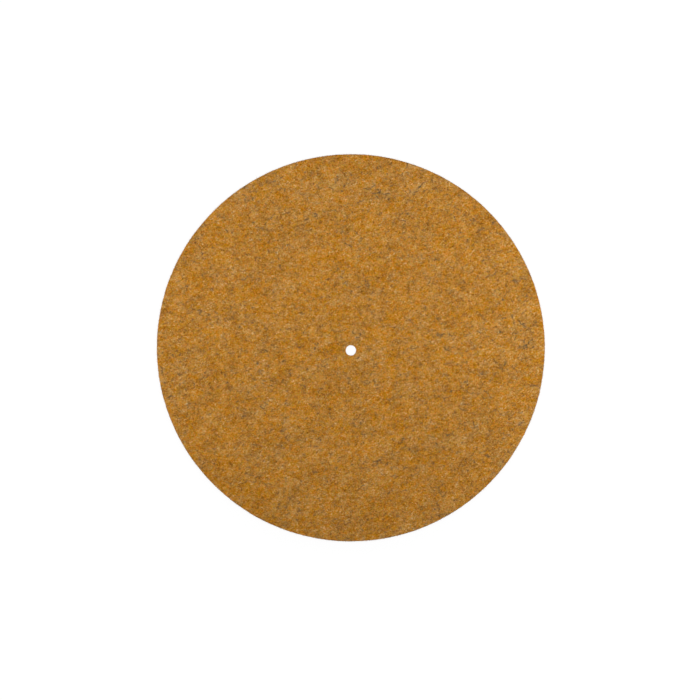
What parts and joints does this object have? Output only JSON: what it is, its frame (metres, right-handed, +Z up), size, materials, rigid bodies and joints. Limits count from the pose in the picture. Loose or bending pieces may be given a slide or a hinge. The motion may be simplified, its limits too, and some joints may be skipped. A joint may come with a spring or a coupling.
{
  "type": "turntable platter mat",
  "caption": "Flat round mat of pressed wool felt with a central spindle hole, laid on a turntable platter under the record.",
  "frame": {"origin": "middle of the underside, on the axis of the spindle hole, at the height of the platter's face", "axes": "+Z up through the spindle hole, from the platter towards the record; the mat is round, so X and Y are any two level directions at right angles"},
  "size_m": [0.3, 0.3, 0.003],
  "materials": {
    "wool_felt": "pressed wool felt in a mustard blend with grey-brown and pale fibres, matt and slightly fuzzy"
  },
  "bodies": {
    "root": {"felt_mat": "wool_felt"}
  },
  "joints": []
}
